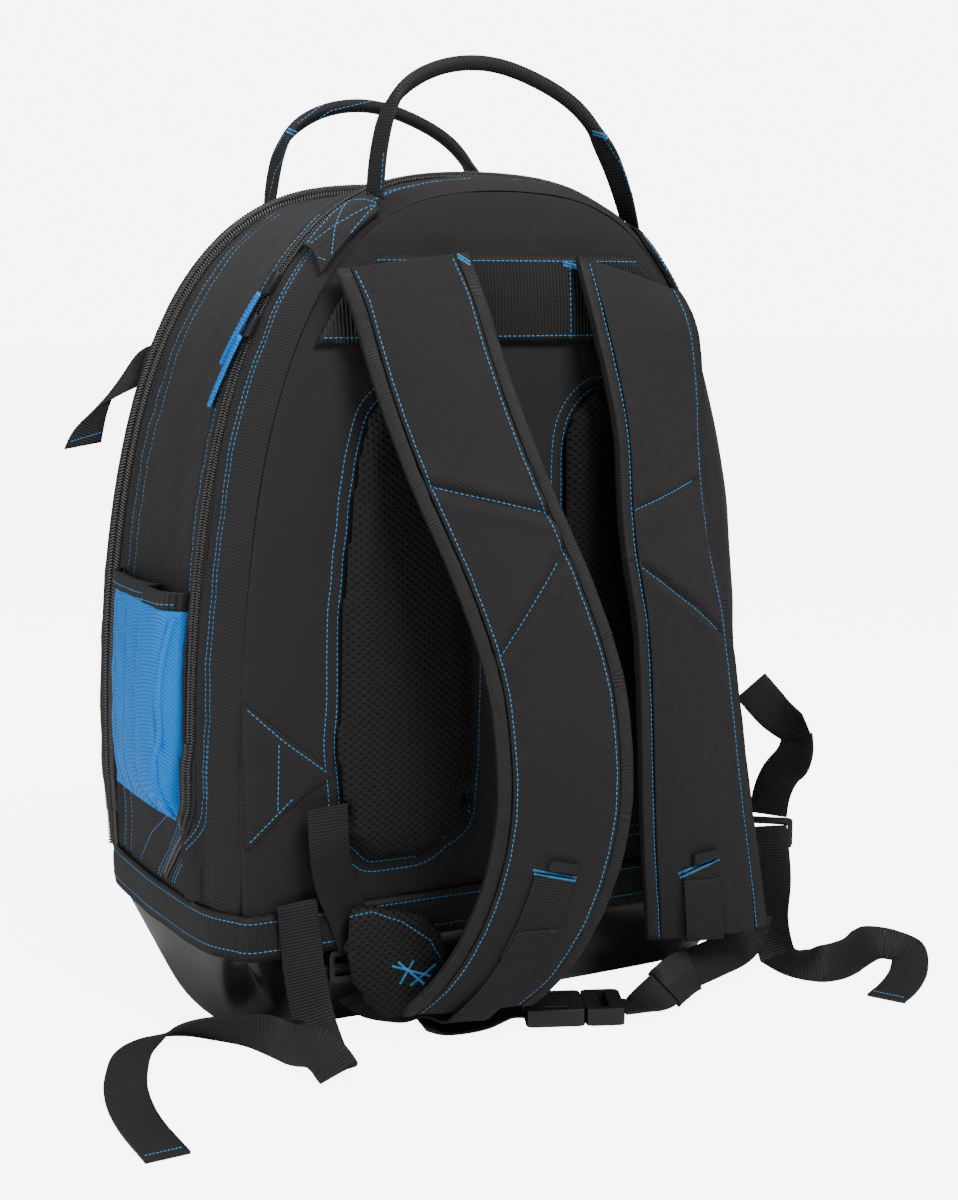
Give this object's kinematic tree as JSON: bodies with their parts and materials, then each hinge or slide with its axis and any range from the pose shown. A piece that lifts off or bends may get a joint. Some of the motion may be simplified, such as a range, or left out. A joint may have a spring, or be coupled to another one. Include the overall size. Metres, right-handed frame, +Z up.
{
  "type": "tool backpack",
  "caption": "Arched cloth tool backpack on a moulded tub base, with padded back, shoulder straps, waist belt, side pocket and carry handles.",
  "frame": {"origin": "centre of the tub's flat bottom, on the floor", "axes": "+X to the right of someone who faces the harness, +Y from the harness to the front panel, +Z up"},
  "size_m": [0.5673, 0.3423, 0.588],
  "materials": {
    "charcoal_cloth": "charcoal twill polyester",
    "zip_tape": "black zip tape with covered teeth",
    "spacer_mesh": "black three-layer air mesh",
    "webbing_black": "black ribbed webbing",
    "blue_cloth": "bright blue coated cloth",
    "tub_plastic": "black moulded plastic, semi-gloss",
    "buckle_plastic": "black moulded plastic, matte"
  },
  "bodies": {
    "root": {"base_tub": "tub_plastic", "rim_band": "webbing_black", "back_panel": "charcoal_cloth", "rear_gusset": "charcoal_cloth", "rear_zip": "zip_tape", "side_gusset": "charcoal_cloth", "front_zip": "zip_tape", "front_panel": "charcoal_cloth", "mesh_pad_left": "spacer_mesh", "mesh_pad_right": "spacer_mesh", "haul_web": "webbing_black", "shoulder_strap_left": "charcoal_cloth", "strap_binding_left_a": "webbing_black", "strap_binding_left_b": "webbing_black", "load_web_left": "webbing_black", "shoulder_strap_right": "charcoal_cloth", "strap_binding_right_a": "webbing_black", "strap_binding_right_b": "webbing_black", "load_web_right": "webbing_black", "anchor_tab_left": "charcoal_cloth", "anchor_tab_right": "charcoal_cloth", "anchor_web_left": "webbing_black", "anchor_web_right": "webbing_black", "ladder_lock_left": "buckle_plastic", "ladder_lock_right": "buckle_plastic", "tail_left": "webbing_black", "tail_right": "webbing_black", "belt_wing_left": "spacer_mesh", "belt_wing_right": "spacer_mesh", "belt_web_left": "webbing_black", "belt_web_right": "webbing_black", "belt_keeper": "webbing_black", "buckle_female": "buckle_plastic", "buckle_male": "buckle_plastic", "rear_handle": "webbing_black", "front_handle": "webbing_black", "handle_patch_rear_left": "charcoal_cloth", "handle_patch_rear_right": "charcoal_cloth", "handle_patch_front_left": "charcoal_cloth", "handle_patch_front_right": "charcoal_cloth", "pocket_front": "blue_cloth", "pocket_rear": "blue_cloth", "pocket_binding_front": "webbing_black", "pocket_binding_rear": "webbing_black", "zip_slider_upper": "buckle_plastic", "zip_slider_lower": "buckle_plastic", "puller_upper": "blue_cloth", "puller_lower": "blue_cloth", "compression_strap": "webbing_black"}
  },
  "joints": []
}
